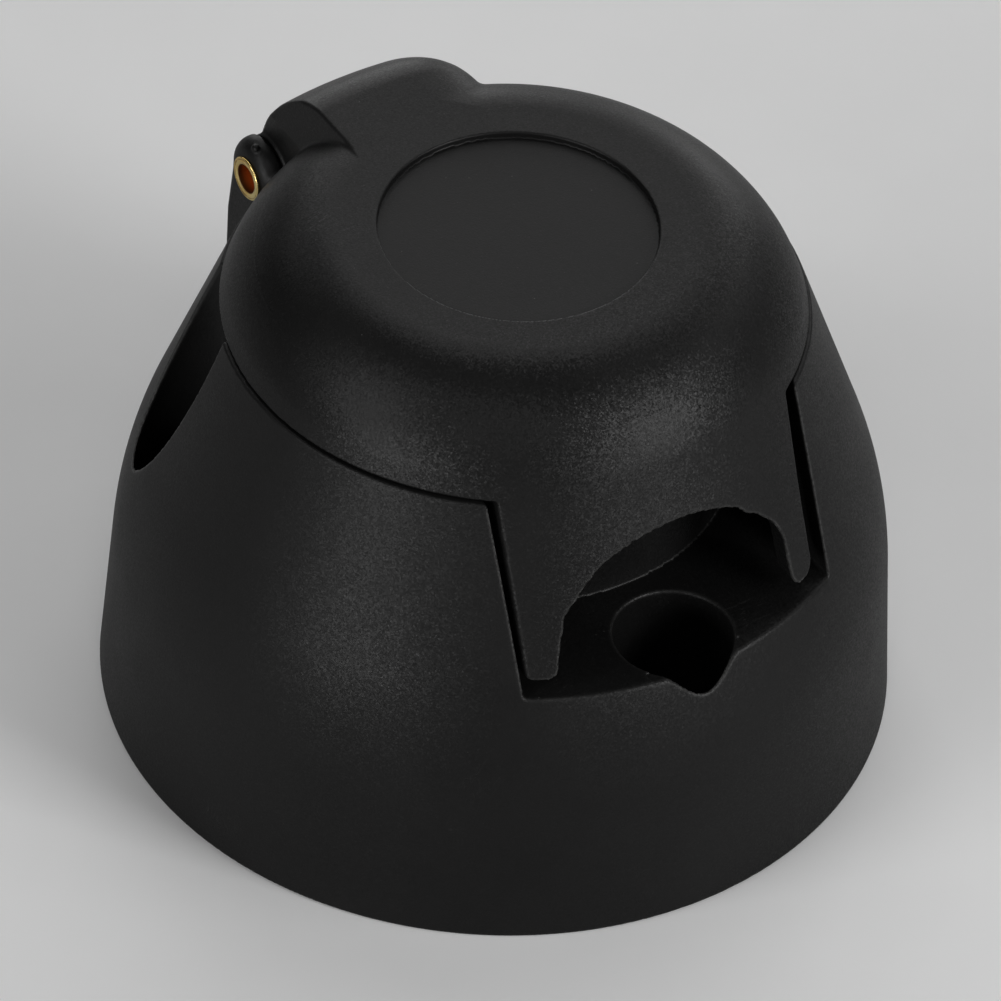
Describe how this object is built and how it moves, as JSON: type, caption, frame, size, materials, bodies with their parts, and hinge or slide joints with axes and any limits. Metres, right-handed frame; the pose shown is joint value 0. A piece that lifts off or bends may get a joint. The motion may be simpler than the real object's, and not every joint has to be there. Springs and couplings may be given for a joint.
{
  "type": "trailer wiring connector",
  "caption": "Round black plastic trailer wiring socket with a sprung hinged cover, a front tongue, deep screw pockets and brass contacts inside.",
  "frame": {"origin": "centre of the mounting face", "axes": "+Z along the socket axis from the mounting face to the cover; -Y towards the cover's tongue, +Y towards the hinge"},
  "size_m": [0.0722, 0.0722, 0.0532],
  "materials": {
    "black_plastic": "fine-grained satin black moulding",
    "insert_plastic": "black thermoset moulding",
    "brass": "bright turned brass",
    "steel": "zinc-plated steel",
    "rubber": "black soft rubber"
  },
  "bodies": {
    "housing": {"housing": "black_plastic", "contact_carrier": "insert_plastic", "contact_retainer": "insert_plastic", "contact_1": "brass", "contact_2": "brass", "contact_3": "brass", "contact_4": "brass", "contact_5": "brass", "contact_6": "brass", "contact_7_centre_pin": "brass", "contact_spring_rings": "steel", "terminal_screws": "steel", "carrier_screws": "steel", "hinge_rivet": "brass", "torsion_spring": "steel"},
    "cover": {"lid": "black_plastic", "lid_seal": "rubber"}
  },
  "joints": [
    {"name": "lid_hinge", "type": "hinge", "parent": "housing", "child": "cover", "pos_m": [0, 0.02785, 0.0421], "axis": [-1, 0, 0], "range_deg": [0, 110], "stiffness_Nm_per_rad": 0.03, "springref_deg": -60.16, "deforming": ["torsion_spring"]}
  ]
}
